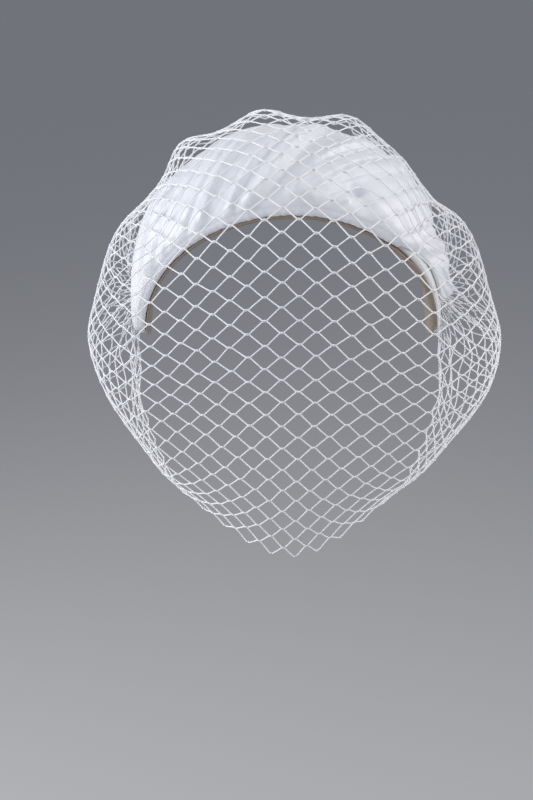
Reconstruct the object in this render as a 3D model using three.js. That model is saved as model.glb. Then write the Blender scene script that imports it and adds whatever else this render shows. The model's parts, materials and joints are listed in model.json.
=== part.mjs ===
// Bridal headband: a padded satin band with a draped, pleated cover and an attached birdcage net veil.
// Millimetres, +Z up. The origin is the inside of the band at the crown, where it rests on the head.
// The wearer looks along -Y. +X is the side of the wearer's left ear.
import * as THREE from 'three';

// ---- Driving dimensions -------------------------------------------------------------------------

// The head that the band is shaped for: an ellipsoid, whose centre is level with the ears.
const headHalf = { width: 78, depth: 92, height: 97 };

// Each edge of the band is a circle on the unit head sphere, later stretched to the ellipsoid.
// tilt is the lean of its plane in degrees, shift its distance from the centre as a share of 1.
const frontEdge = { tilt: 30.9, shift: 0.12, facing: -1 };
const backEdge = { tilt: -7.8, shift: 0.16, facing: 1 };

const bandReach = 92;          // degrees from the crown to each end of the band
const tipAngle = 9;            // degrees over which each end is rounded off
const tipWidthLeast = 0.16;    // share of the band's width left at the very end

const gap = 0.3;               // clearance between pieces that lie on each other
const liningWall = 1.4;
const liningRim = { proud: 0.03, inner: 0.012, rise: 2.2, from: 5, to: 35 };  // thick rim on the right
const padding = { crown: 5.6, end: 3.6, edge: 0.42, fullness: 3.2 };
const coverWall = 1.8;
// Rows of points across the band, closer together where its edges turn over.
const acrossStations = [0, 0.04, 0.12, 0.25, 0.375, 0.5, 0.625, 0.75, 0.88, 0.96, 1];
const coverEdgeFall = 0.05;    // share of the width over which the cover rolls over at its edges
const coverReach = { left: -89, right: 80 };
const coverBack = 0.99;        // where the cover's rear edge lies across the band
const coverHollowMost = 0.6;   // depth that the cover may dip below its plain level
const coverFront = { start: 0.015, right: 0.075, from: 15, to: 45 };
const twist = { angle: 42, across: 0.45, height: 4.2, alongMm: 52, acrossMm: 44 };
const dimple = { angle: 20, across: 0.13, depth: 3.2, alongMm: 5.5, acrossMm: 4 };
const endBulb = { angle: 74, across: 0.32, height: 4.0, alongMm: 9, acrossMm: 12 };

const mmPerDegree = 1.75;      // along the band's outer face
const mmAcross = 88;           // the band's width at the crown
const bandSteps = 36;          // stretches along the lining and the padding
const coverSteps = { along: 52, across: 17 };

// Folds of the draped cover. Each runs from one place on the band, past a bend, to another:
// angle in degrees along the band, across as a share of its width from front to back.
// A fold has a soft side of the given width and a steep side where it lies over the next one.
const foldColumns = ['angle0', 'across0', 'angle1', 'across1', 'angle2', 'across2', 'height', 'width'];
const foldRows = [
  [-86, 0.35, -66, 0.20, -44, 0.70, 2.4, 9],
  [-84, 0.75, -62, 0.55, -34, 1.02, 2.2, 9],
  [-62, -0.02, -47, 0.22, -24, 0.98, 2.2, 9],
  [-50, -0.02, -38, 0.25, -12, 1.00, 2.4, 8],
  [-39, -0.02, -27, 0.28, -4, 1.02, 2.6, 8],
  [-29, -0.02, -19, 0.30, 3, 1.02, 2.4, 8],
  [-20, -0.02, -8, 0.24, 10, 1.02, 3.0, 8],
  [-13, -0.02, 0, 0.22, 20, 1.02, 3.8, 8],
  [-4, 0.14, 12, 0.24, 34, 0.85, 1.8, 6],
  [7, 0.00, 17, 0.26, 46, 0.80, 2.8, 7],
  [24, 0.24, 44, 0.24, 70, 0.62, 1.8, 8],
  [40, 0.06, 58, 0.12, 76, 0.40, 1.8, 7],
];
const foldSteepShare = 0.45;   // width of a fold's steep side as a share of its soft side
const foldFade = 0.12;         // share of a fold's length over which it rises and dies away
const foldEndHeight = 0.35;    // share of a fold's height that is left at its ends
const foldSearchSteps = 14;    // places along a fold that are tried for the nearest one

// The net was cut as a flat strip and gathered at both ends behind the ears.
const strip = { width: 430, length: 292 };
const netWall = 1.2;
const meshAcross = 13;         // whole diamonds over the strip's width
const meshDown = 11;           // whole diamonds over its length
const strandWidth = 3.2;
// Diamonds inside this ellipse on the flat strip are cut through.
const openField = { down: 205, halfAcross: 165, halfDown: 100 };
// A diamond is kept when its middle lies this share of its size inside the strip's edges.
const keptInside = { across: 0.45, down: 0.4 };

// Sections of the hung net from its top edge (down = 0) to its bottom edge (down = 1).
// Each section is one curve through the front, the cheek, the widest wing and the rear fold, and it
// ends where the net is gathered on the band. x sideways, y back, z up from the level of the ears.
// On the left the net hangs closer: leftShare is its sideways reach there as a share of the right's.
const sectionColumns = ['down', 'leftShare', 'frontY', 'frontZ', 'cheekX', 'cheekY', 'cheekZ',
  'cornerX', 'cornerY', 'cornerZ', 'wingX', 'wingY', 'wingZ', 'rearX', 'rearY', 'rearZ'];
const sectionRows = [
  [0.000, 1.00, 29, 102.5, 49, 28, 87, 65, 28, 73, 77, 27, 57, 83, 23, 38],
  [0.064, 1.00, 12, 114, 55, 20, 93, 72, 23, 76, 84, 25, 59, 87, 23, 35],
  [0.166, 1.00, -20, 115, 63, 4, 92, 79, 13, 74, 90, 20, 55, 90, 22, 32],
  [0.258, 0.98, -45, 107, 70, -17, 84, 88, -1, 66, 97, 14, 46, 93, 22, 27],
  [0.360, 0.97, -68, 89, 76, -41, 66, 96, -21, 51, 103, 3, 34, 97, 20, 21],
  [0.470, 0.97, -86, 61, 78, -62, 41, 99, -41, 31, 108, -13, 20, 101, 16, 12],
  [0.593, 0.96, -97, 27, 79, -76, 12, 102, -57, 8, 112, -27, 3, 104, 11, 2],
  [0.729, 0.94, -102, -12, 76, -80, -20, 98, -61, -21, 107, -32, -19, 102, 8, -11],
  [0.864, 0.91, -99, -54, 66, -73, -56, 81, -55, -51, 91, -28, -44, 94, 10, -25],
  [1.000, 0.93, -88, -98, 57, -55, -79, 69, -36, -70, 80, -8, -60, 86, 16, -35],
];
const columnAt = { cheek: 0.38, corner: 0.52, wing: 0.68, rear: 0.86 };  // share of the half width
// The gathered end lies on the band from the first place to the second.
const gather = { angle0: 74, across0: 0.97, angle1: 88, across1: 0.80, stand: 0.5 };
const gatherFolds = { count: 3, depth: 2.6, centre: 0.80, spread: 0.09 };
const puffs = { count: 3, depth: 2.5, centre: 0.09, spread: 0.07, fadeFrom: 0.5, fadeTo: 0.8 };

// ---- Small helpers ------------------------------------------------------------------------------

const radians = THREE.MathUtils.degToRad;
const { lerp, smoothstep, clamp } = THREE.MathUtils;
const bell = (distance, spread) => Math.exp(-((distance / spread) ** 2));

function named(columns, rows) {
  return rows.map((row) => Object.fromEntries(columns.map((name, i) => [name, row[i]])));
}

// ---- The band -----------------------------------------------------------------------------------

// A point of one edge circle on the unit sphere, at an angle from the crown.
function edgeDirection(edge, angle) {
  const tilt = radians(edge.tilt);
  const radius = Math.sqrt(1 - edge.shift ** 2);
  const pole = new THREE.Vector3(0, edge.facing * Math.cos(tilt), edge.facing * Math.sin(tilt));
  const up = new THREE.Vector3(0, -Math.sin(tilt), Math.cos(tilt));
  return new THREE.Vector3(Math.sin(radians(angle)) * radius, 0, 0)
    .addScaledVector(up, Math.cos(radians(angle)) * radius)
    .addScaledVector(pole, edge.shift);
}

// A point of the band: angle along it, across it from front (0) to back (1), and the height above
// the head's surface, measured square to that surface.
function bandPoint(angle, across, height) {
  const front = edgeDirection(frontEdge, angle);
  const back = edgeDirection(backEdge, angle);
  const spread = front.angleTo(back);
  const direction = front.multiplyScalar(Math.sin((1 - across) * spread) / Math.sin(spread))
    .addScaledVector(back, Math.sin(across * spread) / Math.sin(spread));
  const half = new THREE.Vector3(headHalf.width, headHalf.depth, headHalf.height);
  const outward = direction.clone().divide(half).normalize();
  const point = direction.multiply(half).addScaledVector(outward, height);
  point.z -= headHalf.height;
  return point;
}

// Rounds the ends: the band keeps its full width and narrows over the last few degrees.
function roundedAcross(angle, across, low, high) {
  const past = clamp((angle - high + tipAngle) / tipAngle, 0, 1)
    + clamp((low + tipAngle - angle) / tipAngle, 0, 1);
  const share = Math.max(Math.sqrt(1 - past ** 2), tipWidthLeast);
  return 0.5 + (across - 0.5) * share;
}

// 0 at the crown, 1 at either end of the band.
const towardsEnd = (angle) => clamp(Math.abs(angle) / bandReach, 0, 1);

// The lining is thin under the padding and has a thick rim that stands forward of it.
function liningTop(angle, across) {
  const onRight = smoothstep(angle, liningRim.from, liningRim.to);
  const onRim = 1 - smoothstep(across, -liningRim.inner, 0);
  return liningWall + onRight * onRim * liningRim.rise;
}

function paddingTop(angle, across) {
  const thickness = lerp(padding.crown, padding.end, towardsEnd(angle) ** 2);
  const crossing = clamp(Math.abs(2 * across - 1), 0, 1);
  const crown = Math.sqrt(1 - crossing ** padding.fullness);
  return liningWall + gap + thickness * lerp(padding.edge, 1, crown);
}

// The nearest distance in mm to a fold's line, which side it is on, and how far along it lies.
function nearestOnFold(fold, angle, across) {
  let best = { distance: Infinity, along: 0, side: 1 };
  for (let i = 0; i <= foldSearchSteps; i += 1) {
    const s = i / foldSearchSteps;
    const a = (1 - s) ** 2 * fold.angle0 + 2 * s * (1 - s) * fold.angle1 + s ** 2 * fold.angle2;
    const c = (1 - s) ** 2 * fold.across0 + 2 * s * (1 - s) * fold.across1 + s ** 2 * fold.across2;
    const x = (angle - a) * mmPerDegree;
    const y = (across - c) * mmAcross;
    const distance = Math.hypot(x, y);
    if (distance < best.distance) {
      const dx = (1 - s) * (fold.angle1 - fold.angle0) + s * (fold.angle2 - fold.angle1);
      const dy = (1 - s) * (fold.across1 - fold.across0) + s * (fold.across2 - fold.across1);
      best = { distance, along: s, side: Math.sign(x * dy * mmAcross - y * dx * mmPerDegree) };
    }
  }
  return best;
}

const folds = named(foldColumns, foldRows);

function foldHeight(angle, across) {
  let height = 0;
  for (const fold of folds) {
    const near = nearestOnFold(fold, angle, across);
    const width = near.side > 0 ? fold.width * foldSteepShare : fold.width;
    const ends = smoothstep(near.along, 0, foldFade) * (1 - smoothstep(near.along, 1 - foldFade, 1));
    height = Math.max(height, fold.height * lerp(foldEndHeight, 1, ends) * bell(near.distance, width));
  }
  return height;
}

// A rounded rise or hollow of the cover, 1 at its middle.
function mound(place, angle, across) {
  const along = (angle - place.angle) * mmPerDegree / place.alongMm;
  const over = (across - place.across) * mmAcross / place.acrossMm;
  return Math.exp(-(along ** 2) - over ** 2);
}

function coverTop(angle, across) {
  const edge = Math.min(across, 1 - across) / coverEdgeFall;
  const roll = Math.sqrt(clamp(edge, 0, 1));
  const rise = foldHeight(angle, across)
    + twist.height * mound(twist, angle, across)
    + endBulb.height * mound(endBulb, angle, across)
    - dimple.depth * mound(dimple, angle, across);
  return paddingTop(angle, across) + gap + coverWall + Math.max(rise, -coverHollowMost) * roll;
}

// A closed shell on a grid of stations, each a share from 0 to 1: lower and upper give the points.
// Seen from outside, u runs to the right and v away.
function shell(uStations, vStations, lower, upper) {
  const columns = uStations.length - 1;
  const rows = vStations.length - 1;
  const points = [];
  for (const surface of [lower, upper]) {
    for (const v of vStations) {
      for (const u of uStations) points.push(...surface(u, v).toArray());
    }
  }
  const index = [];
  const at = (i, j, top) => (top * (rows + 1) + j) * (columns + 1) + i;
  const quad = (a, b, c, d) => index.push(a, b, c, a, c, d);
  for (let j = 0; j < rows; j += 1) {
    for (let i = 0; i < columns; i += 1) {
      quad(at(i, j, 1), at(i + 1, j, 1), at(i + 1, j + 1, 1), at(i, j + 1, 1));
      quad(at(i, j, 0), at(i, j + 1, 0), at(i + 1, j + 1, 0), at(i + 1, j, 0));
    }
  }
  for (let i = 0; i < columns; i += 1) {
    quad(at(i, 0, 0), at(i + 1, 0, 0), at(i + 1, 0, 1), at(i, 0, 1));
    quad(at(i + 1, rows, 0), at(i, rows, 0), at(i, rows, 1), at(i + 1, rows, 1));
  }
  for (let j = 0; j < rows; j += 1) {
    quad(at(0, j + 1, 0), at(0, j, 0), at(0, j, 1), at(0, j + 1, 1));
    quad(at(columns, j, 0), at(columns, j + 1, 0), at(columns, j + 1, 1), at(columns, j, 1));
  }
  return closedGeometry(points, index);
}

const evenStations = (count) => Array.from({ length: count + 1 }, (_, i) => i / count);

function closedGeometry(points, index) {
  const geometry = new THREE.BufferGeometry();
  geometry.setAttribute('position', new THREE.Float32BufferAttribute(points, 3));
  geometry.setIndex(index);
  geometry.computeVertexNormals();
  return geometry;
}

function liningGeometry() {
  const rows = [-liningRim.proud, -liningRim.inner, 0, 0.25, 0.5, 0.75, 1];
  const place = (u, across) => {
    const angle = lerp(-bandReach, bandReach, u);
    return [angle, roundedAcross(angle, across, -bandReach, bandReach)];
  };
  return shell(
    evenStations(bandSteps),
    rows,
    (u, across) => bandPoint(...place(u, across), 0),
    (u, across) => bandPoint(...place(u, across), liningTop(place(u, across)[0], across)),
  );
}

function paddingGeometry() {
  const reach = bandReach - 1;
  const place = (u, across) => {
    const angle = lerp(-reach, reach, u);
    return [angle, roundedAcross(angle, across, -reach, reach)];
  };
  return shell(
    evenStations(bandSteps),
    acrossStations,
    (u, across) => bandPoint(...place(u, across), liningWall + gap),
    (u, across) => bandPoint(...place(u, across), paddingTop(...place(u, across))),
  );
}

function coverGeometry() {
  const place = (u, v) => {
    const angle = lerp(coverReach.left, coverReach.right, u);
    const front = lerp(coverFront.start, coverFront.right,
      smoothstep(angle, coverFront.from, coverFront.to));
    const across = lerp(front, coverBack, v);
    return [angle, roundedAcross(angle, across, coverReach.left, coverReach.right)];
  };
  return shell(
    evenStations(coverSteps.along),
    evenStations(coverSteps.across),
    (u, v) => bandPoint(...place(u, v), paddingTop(...place(u, v)) + gap),
    (u, v) => bandPoint(...place(u, v), coverTop(...place(u, v))),
  );
}

// ---- The net veil -------------------------------------------------------------------------------

const sections = named(sectionColumns, sectionRows);

// Weights of a smooth curve through uneven stations (cubic, with slopes from the neighbours).
function smoothWeights(stations, value) {
  let k = 0;
  while (k < stations.length - 2 && value > stations[k + 1]) k += 1;
  const span = stations[k + 1] - stations[k];
  const t = (value - stations[k]) / span;
  const weights = new Array(stations.length).fill(0);
  weights[k] += 2 * t ** 3 - 3 * t ** 2 + 1;
  weights[k + 1] += -2 * t ** 3 + 3 * t ** 2;
  const slope = (at, share) => {
    const before = Math.max(at - 1, 0);
    const after = Math.min(at + 1, stations.length - 1);
    const rate = share * span / (stations[after] - stations[before]);
    weights[after] += rate;
    weights[before] -= rate;
  };
  slope(k, t ** 3 - 2 * t ** 2 + t);
  slope(k + 1, t ** 3 - t ** 2);
  return weights;
}

// The place on the band where the gathered end of a section is sewn down.
function gatherPoint(down, side) {
  const angle = side * lerp(gather.angle0, gather.angle1, down);
  const across = lerp(gather.across0, gather.across1, down);
  const top = Math.max(coverTop(angle, across), coverTop(-angle, across));
  return bandPoint(angle, across, top + gather.stand + netWall / 2);
}

const halfStations = Object.values(columnAt);
const columnStations = [-1, ...halfStations.map((at) => -at).reverse(), 0, ...halfStations, 1];

function sectionPoints(section) {
  const place = (side, name) => new THREE.Vector3(
    section[`${name}X`] * (side < 0 ? -section.leftShare : 1),
    section[`${name}Y`],
    section[`${name}Z`] - headHalf.height,
  );
  const front = new THREE.Vector3(0, section.frontY, section.frontZ - headHalf.height);
  const names = Object.keys(columnAt);
  const left = names.map((name) => place(-1, name)).reverse();
  const right = names.map((name) => place(1, name));
  return [gatherPoint(section.down, -1), ...left, front, ...right, gatherPoint(section.down, 1)];
}

const veilNet = sections.map(sectionPoints);
const downStations = sections.map((section) => section.down);

// A point of the smooth hung sheet: across from -1 to 1, down from 0 to 1.
function sheetPoint(across, down) {
  const alongWeights = smoothWeights(columnStations, across);
  const downWeights = smoothWeights(downStations, down);
  const point = new THREE.Vector3();
  for (let j = 0; j < downWeights.length; j += 1) {
    for (let i = 0; i < alongWeights.length; i += 1) {
      point.addScaledVector(veilNet[j][i], downWeights[j] * alongWeights[i]);
    }
  }
  return point;
}

function sheetNormal(across, down) {
  const step = 0.004;
  const before = clamp(across - step, -1, 1);
  const after = clamp(across + step, -1, 1);
  const above = clamp(down - step, 0, 1);
  const below = clamp(down + step, 0, 1);
  const sideways = sheetPoint(after, down).sub(sheetPoint(before, down));
  const downwards = sheetPoint(across, below).sub(sheetPoint(across, above));
  return downwards.cross(sideways).normalize();
}

// A point of the net: the sheet with its gather folds and top puffs, raised by a height.
function netPoint(across, down, height) {
  const gathered = bell(Math.abs(across) - gatherFolds.centre, gatherFolds.spread);
  const wave = Math.cos(2 * Math.PI * gatherFolds.count * down) * gatherFolds.depth * gathered;
  const faded = 1 - smoothstep(Math.abs(across), puffs.fadeFrom, puffs.fadeTo);
  const puffed = bell(down - puffs.centre, puffs.spread) * faded;
  const lift = (0.5 - 0.5 * Math.cos(2 * Math.PI * puffs.count * across)) * puffs.depth * puffed;
  return sheetPoint(across, down)
    .addScaledVector(sheetNormal(across, down), height + wave + lift);
}

// The net is laid out on the flat strip in two families of slanting strands. Line numbers p and q
// count them; a diamond lies between lines p and p + 1, and q and q + 1.
const pitch = { across: strip.width / meshAcross, down: strip.length / meshDown };
const linePitch = 1 / Math.hypot(1 / pitch.across, 1 / pitch.down);
const strandHalf = strandWidth / linePitch / 2;

const stripPlace = (p, q) => ({
  across: (p + q) / 2 * pitch.across,
  down: (p - q) / 2 * pitch.down,
});

function diamondKind(p, q) {
  const centre = stripPlace(p + 0.5, q + 0.5);
  const insideAcross = Math.abs(centre.across) < strip.width / 2 - pitch.across * keptInside.across;
  const leastDown = pitch.down * keptInside.down;
  const insideDown = centre.down > leastDown && centre.down < strip.length - leastDown;
  if (!insideAcross || !insideDown) return 'none';
  const far = Math.hypot(centre.across / openField.halfAcross,
    (centre.down - openField.down) / openField.halfDown);
  return far < 1 ? 'open' : 'closed';
}

// Tiles are numbered on a doubled grid: even numbers are the strands, odd ones the spaces between.
function tileIsSolid(i, j) {
  const p = Math.floor(i / 2);
  const q = Math.floor(j / 2);
  const onLineP = i % 2 === 0;
  const onLineQ = j % 2 === 0;
  if (!onLineP && !onLineQ) return diamondKind(p, q) === 'closed';
  for (const nearP of onLineP ? [p - 1, p] : [p]) {
    for (const nearQ of onLineQ ? [q - 1, q] : [q]) {
      if (diamondKind(nearP, nearQ) !== 'none') return true;
    }
  }
  return false;
}

// The line number at corner k of the doubled grid: each strand has a corner on either side of it.
const lineAt = (k) => (k % 2 === 0 ? k / 2 - strandHalf : (k - 1) / 2 + strandHalf);

function netGeometry() {
  const points = [];
  const index = [];
  const known = new Map();
  const rim = { across: strandHalf * pitch.across, down: strandHalf * pitch.down };
  const corner = (i, j, top) => {
    const key = `${i},${j},${top}`;
    if (!known.has(key)) {
      const place = stripPlace(lineAt(i), lineAt(j));
      const across = place.across / (strip.width / 2 + rim.across);
      const down = (place.down + rim.down) / (strip.length + 2 * rim.down);
      known.set(key, points.length / 3);
      points.push(...netPoint(across, down, top ? netWall / 2 : -netWall / 2).toArray());
    }
    return known.get(key);
  };
  const quad = (a, b, c, d) => index.push(a, b, c, a, c, d);
  const reach = 2 * (meshAcross + meshDown) + 4;
  for (let i = -reach; i <= reach; i += 1) {
    for (let j = -reach; j <= reach; j += 1) {
      if (!tileIsSolid(i, j)) continue;
      const ring = [[i, j], [i + 1, j], [i + 1, j + 1], [i, j + 1]];
      const upper = ring.map(([a, b]) => corner(a, b, true));
      const lower = ring.map(([a, b]) => corner(a, b, false));
      quad(...upper);
      quad(...lower.slice().reverse());
      const beside = [[i, j - 1], [i + 1, j], [i, j + 1], [i - 1, j]];
      beside.forEach(([a, b], side) => {
        const next = (side + 1) % 4;
        if (!tileIsSolid(a, b)) quad(lower[side], lower[next], upper[next], upper[side]);
      });
    }
  }
  return closedGeometry(points, index);
}

// ---- Assembly -----------------------------------------------------------------------------------

function piece(name, geometry, colour, roughness) {
  const material = new THREE.MeshStandardMaterial({ color: colour, roughness, metalness: 0 });
  const mesh = new THREE.Mesh(geometry, material);
  mesh.name = name;
  return mesh;
}

const headband = new THREE.Group();
headband.add(piece('lining', liningGeometry(), '#c9b3a2', 0.7));
headband.add(piece('padded_base', paddingGeometry(), '#dcdce2', 0.5));
headband.add(piece('draped_cover', coverGeometry(), '#f1f1f6', 0.35));
headband.add(piece('veil_net', netGeometry(), '#f6f7fa', 0.6));

export default headband;
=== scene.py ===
"""A bridal headband: a padded satin band, a pleated satin drape over it and a birdcage net veil.

The frame is in metres, +Z up, with the origin inside the band at the crown. The wearer looks along -Y.
Shapes are worked out in millimetres and turned into metres when a mesh is made.
"""
import json
import math

import bpy
import numpy as np
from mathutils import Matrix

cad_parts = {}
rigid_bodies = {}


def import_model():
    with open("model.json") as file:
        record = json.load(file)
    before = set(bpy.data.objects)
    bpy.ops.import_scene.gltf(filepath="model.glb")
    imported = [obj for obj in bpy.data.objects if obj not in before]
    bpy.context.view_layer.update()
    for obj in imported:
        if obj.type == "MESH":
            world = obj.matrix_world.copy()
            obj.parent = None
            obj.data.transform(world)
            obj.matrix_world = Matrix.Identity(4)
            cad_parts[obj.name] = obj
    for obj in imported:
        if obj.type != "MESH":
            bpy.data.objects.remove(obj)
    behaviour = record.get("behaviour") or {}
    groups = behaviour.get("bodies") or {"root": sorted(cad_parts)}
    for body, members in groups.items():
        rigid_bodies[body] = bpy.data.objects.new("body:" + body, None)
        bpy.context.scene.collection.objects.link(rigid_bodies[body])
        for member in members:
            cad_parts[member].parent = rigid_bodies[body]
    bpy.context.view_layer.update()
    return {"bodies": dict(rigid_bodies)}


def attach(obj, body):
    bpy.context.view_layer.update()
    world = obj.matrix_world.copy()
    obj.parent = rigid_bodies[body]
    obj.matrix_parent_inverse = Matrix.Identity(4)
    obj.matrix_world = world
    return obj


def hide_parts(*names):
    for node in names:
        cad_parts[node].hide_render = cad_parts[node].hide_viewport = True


bl_info = {
    "name": "Bridal headband",
    "version": (1, 0, 0),
    "blender": (4, 5, 0),
    "location": "3D View > Sidebar > Headband",
    "description": "Makes a draped satin headband with a gathered birdcage net veil",
    "category": "Add Mesh",
}

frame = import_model()

MM = 0.001
TAB = "Headband"  # in the sidebar

# ---- Sizes of the head and band, in millimetres and degrees -----------------------------------------

# The head is an ellipsoid. Each edge of the band is a circle on the unit sphere, stretched to it:
# tilt is the lean of the circle's plane, shift its distance from the centre as a share of 1, and facing
# the side of the centre that it lies on.
HEAD_HALF = np.array([78.0, 92.0, 97.0])
FRONT_EDGE = {"tilt": 30.9, "shift": 0.12, "facing": -1}
BACK_EDGE = {"tilt": -7.8, "shift": 0.16, "facing": 1}
BAND_REACH = 92.0  # from the crown to the band's ends
MM_PER_DEGREE = 1.75  # along the band's outer face
MM_ACROSS = 88.0  # the band's width at the crown
GAP = 0.3  # between two layers
# How many degrees of a piece are drawn in to a round end, and the share of its width left at the tip.
TIP_ANGLE = 9.0
TIP_WIDTH_LEAST = 0.16
EDGE_WALL = 0.3  # thickness left at the edges of the padding and the drape

# Shares across run from 0 at the band's front edge to 1 at its back edge. The lining reaches in front
# of the band by the share "proud", and this rim rises on the right between two angles.
LINING_WALL = 1.4
LINING_EDGE = {"wall": 0.25, "roll": 0.012}
LINING_RIM = {"proud": 0.034, "inner": 0.012, "rise": 2.2, "from": 42, "to": 60}

BASE_FLOOR = LINING_WALL + GAP
BASE_ROLL = 0.03
BASE_CRIMP = 0.35
BASE_SHORTER = 1  # degrees by which the padding ends before the lining does
PADDING = {"crown": 5.6, "end": 3.6, "edge": 0.42, "fullness": 3.2}
DIMPLE = {"angle": 19.7, "across": 0.155, "height": -4.1, "along_mm": 3.7, "across_mm": 2.8}

# The drape's front edge is turned down as a lip, and lies further in on the right. Its height falls off
# over the last few degrees, COVER_END, to the share COVER_END_LEAST.
COVER_WALL = 1.8
COVER_REACH = {"left": -89.0, "right": 76.5}
COVER_END = 4.5
COVER_END_LEAST = 0.3
COVER_TIP = 6.0  # the drape's own TIP_ANGLE
COVER_BACK = 0.99
COVER_FRONT = {"lip": -0.026, "right": 0.085, "from": 34, "to": 62}
COVER_ROLL = {"lip": 0.042, "right": 0.025}

# Rows of points on each piece: along the band, over the outer face and under it. They stand closer to
# the edges and ends by a share, 0 for evenly and 1 as the cosine of an even turn.
LINING_ROWS = (300, 60, 12)
BASE_ROWS = (300, 90, 10)
COVER_ROWS = (430, 170, 50)
CLOSER = {"over": 0.45, "under": 0.75, "along": 0.25}
UV_UNIT = 100  # millimetres of cloth in one unit of its UV map

# How band_places searches: steps to the foot on the head, and the steps to the angle, in degrees.
FOOT_STEPS = 5
ANGLE_SEARCH = {"steps": 8, "first": 2.0, "most": 20, "least_slope": 1e-12}


def lerp(a, b, t):
    """The value that lies a share t of the way from a to b."""
    return a + (b - a) * t


def smooth(t, low, high):
    """0 below low and 1 above high, with an S-shaped rise between."""
    s = np.clip((t - low) / (high - low), 0, 1)
    return s * s * (3 - 2 * s)


def bell(distance, spread):
    """A bell curve, 1 at its middle."""
    return np.exp(-((distance / spread) ** 2))


def unit(v):
    """Vectors made one long."""
    return v / np.linalg.norm(v, axis=-1, keepdims=True)


def columns(names, rows):
    """A table of rows as a list of dictionaries with those names."""
    return [dict(zip(names.split(), row)) for row in rows]


# ---- The band's surface -----------------------------------------------------------------------------


def edge_direction(edge, angle):
    """A point of an edge circle at an angle from the crown: the circle's centre lies on its pole at
    shift, and its radius is the square root of 1 - shift squared."""
    tilt = math.radians(edge["tilt"])
    radius = math.sqrt(1 - edge["shift"] ** 2)
    pole = edge["facing"] * edge["shift"] * np.array([0, math.cos(tilt), math.sin(tilt)])
    up = radius * np.array([0, -math.sin(tilt), math.cos(tilt)])
    side = radius * np.array([1.0, 0, 0])
    a = np.radians(angle)[..., None]
    return side * np.sin(a) + up * np.cos(a) + pole


def band_points(angle, across, height):
    """A point of the band: the great circle between the edges at that angle is followed by a share
    across, stretched to the head, and raised by height along the head's outward direction."""
    angle, across, height = np.broadcast_arrays(angle, across, height)
    front = edge_direction(FRONT_EDGE, angle)
    back = edge_direction(BACK_EDGE, angle)
    spread = np.arccos(np.clip((front * back).sum(-1), -1, 1))[..., None]
    share = across[..., None]
    direction = (np.sin((1 - share) * spread) * front + np.sin(share * spread) * back) / np.sin(spread)
    point = direction * HEAD_HALF + unit(direction / HEAD_HALF) * height[..., None]
    return point - [0, 0, HEAD_HALF[2]]


def band_places(point):
    """The reverse of band_points: angle, across and height of points near the band. The foot on the
    head is found by stepping back along its outward direction, the angle by the secant rule."""
    p = point + [0, 0, HEAD_HALF[2]]
    direction = unit(p / HEAD_HALF)
    for _ in range(FOOT_STEPS):
        outward = unit(direction / HEAD_HALF)
        height = ((p - direction * HEAD_HALF) * outward).sum(-1)
        direction = unit((p - height[..., None] * outward) / HEAD_HALF)

    def off_plane(angle):
        """0 where the direction lies in the plane of the two edge points: their triple product."""
        front, back = edge_direction(FRONT_EDGE, angle), edge_direction(BACK_EDGE, angle)
        return (direction * np.cross(front, back)).sum(-1)

    before = np.degrees(np.arctan2(direction[..., 0], np.hypot(direction[..., 1], direction[..., 2])))
    angle = before + ANGLE_SEARCH["first"]
    most, least_slope = ANGLE_SEARCH["most"], ANGLE_SEARCH["least_slope"]
    miss_before, miss = off_plane(before), off_plane(angle)
    for _ in range(ANGLE_SEARCH["steps"]):
        slope = miss - miss_before
        slope = np.where(np.abs(slope) < least_slope, least_slope, slope)
        step = np.clip(miss * (angle - before) / slope, -most, most)
        before, angle = angle, angle - step
        miss_before, miss = miss, off_plane(angle)
    front, back = edge_direction(FRONT_EDGE, angle), edge_direction(BACK_EDGE, angle)
    turn = unit(np.cross(front, back))
    spread = np.arccos(np.clip((front * back).sum(-1), -1, 1))
    way = np.arctan2((np.cross(front, direction) * turn).sum(-1), (front * direction).sum(-1))
    return angle, way / spread, height


def rounded_across(angle, across, low, high, tip=TIP_ANGLE):
    """Across, drawn in towards the middle over the last few degrees so that the ends are round."""
    past = np.clip((angle - high + tip) / tip, 0, 1)
    past = past + np.clip((low + tip - angle) / tip, 0, 1)
    share = np.maximum(np.sqrt(1 - np.minimum(past, 1) ** 2), TIP_WIDTH_LEAST)
    return 0.5 + (across - 0.5) * share


def towards_end(angle):
    """0 at the crown, 1 at either end of the band."""
    return np.clip(np.abs(angle) / BAND_REACH, 0, 1)


def padding_top(angle, across):
    """Height of the padding: thickest at the crown, rounded over like a cushion across, and drawn in
    at the dimple."""
    thickness = lerp(PADDING["crown"], PADDING["end"], towards_end(angle) ** 2)
    crossing = np.clip(np.abs(2 * across - 1), 0, 1)
    crown = np.sqrt(1 - crossing ** PADDING["fullness"])
    top = BASE_FLOOR + thickness * lerp(PADDING["edge"], 1, crown)
    return top + mound_relief(angle, across, [DIMPLE])


# ---- The drape's folds ------------------------------------------------------------------------------

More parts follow.
